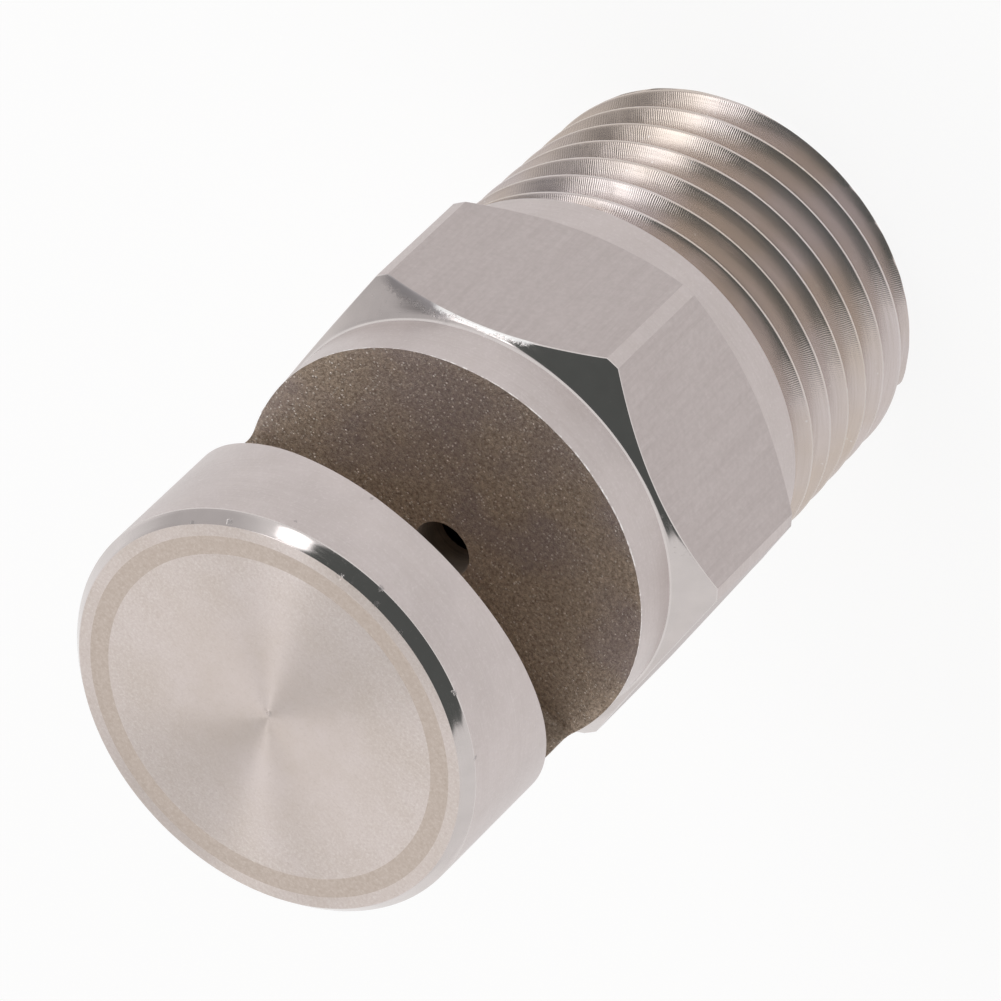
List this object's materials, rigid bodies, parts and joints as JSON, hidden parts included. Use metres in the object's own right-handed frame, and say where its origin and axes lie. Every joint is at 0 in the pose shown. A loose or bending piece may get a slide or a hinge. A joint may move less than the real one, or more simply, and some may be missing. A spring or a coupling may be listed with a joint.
{
  "type": "pressure relief valve",
  "caption": "In-line spring-loaded pressure relief valve: male threaded inlet, wrench hexagon, adjustable seat, and a side notch where a tilted cap deflects the discharge.",
  "frame": {"origin": "centre of the inlet end face, at the free end of the male thread", "axes": "+Z runs along the valve's axis from the inlet to the deflector cap; the discharge notch opens towards -Y; a hexagon corner points to -Y and flats face +X and -X"},
  "size_m": [0.022, 0.025, 0.042],
  "materials": {
    "body_steel": "finely turned and milled, pale warm grey; notch left dark and grainy as cast",
    "shim_steel": "rolled",
    "plate_steel": "turned",
    "nitrile": "moulded, matte",
    "bronze": "turned bearing bronze",
    "spring_wire": "drawn wire",
    "washer_steel": "stamped",
    "poppet_steel": "turned and milled",
    "seat_polymer": "turned fluoropolymer",
    "screw_steel": "cold formed",
    "seat_steel": "turned",
    "strainer_steel": "woven and rolled",
    "snap_steel": "phosphated spring steel"
  },
  "bodies": {
    "housing": {"valve_body": "body_steel", "set_shim_thick": "shim_steel", "set_shim_thin": "shim_steel", "spring_plate": "plate_steel", "stem_damper_ring": "nitrile", "guide_sleeve": "bronze", "relief_spring": "spring_wire", "strainer_frame": "strainer_steel", "strainer_screen": "strainer_steel", "snap_ring": "snap_steel"},
    "seat_seals": {"seat_o_ring": "nitrile", "seat_backup_ring": "seat_polymer"},
    "seat_screw": {"seat_insert": "seat_steel", "lock_ring": "seat_steel"},
    "poppet_group": {"poppet": "poppet_steel", "spring_thrust_washer": "washer_steel", "seat_disc": "seat_polymer", "seat_disc_washer": "washer_steel", "seat_disc_lock_washer": "spring_wire", "seat_disc_screw": "screw_steel"}
  },
  "joints": [
    {"name": "seat_travel", "type": "slide", "parent": "housing", "child": "seat_seals", "axis": [0, 0, 1], "range_m": [-0.00102, 0.00002]},
    {"name": "seat_turn", "type": "hinge", "parent": "seat_seals", "child": "seat_screw", "pos_m": [0, 0, 0.009], "axis": [0, 0, 1], "range_deg": [-360, 0]},
    {"name": "poppet_lift", "type": "slide", "parent": "seat_seals", "child": "poppet_group", "axis": [0, 0, 1], "range_m": [0, 0.0012], "deforming": ["relief_spring"]}
  ],
  "couplings": [
    {"joint": "seat_travel", "follows": "seat_turn", "m_per_rad": 0.00015915}
  ]
}
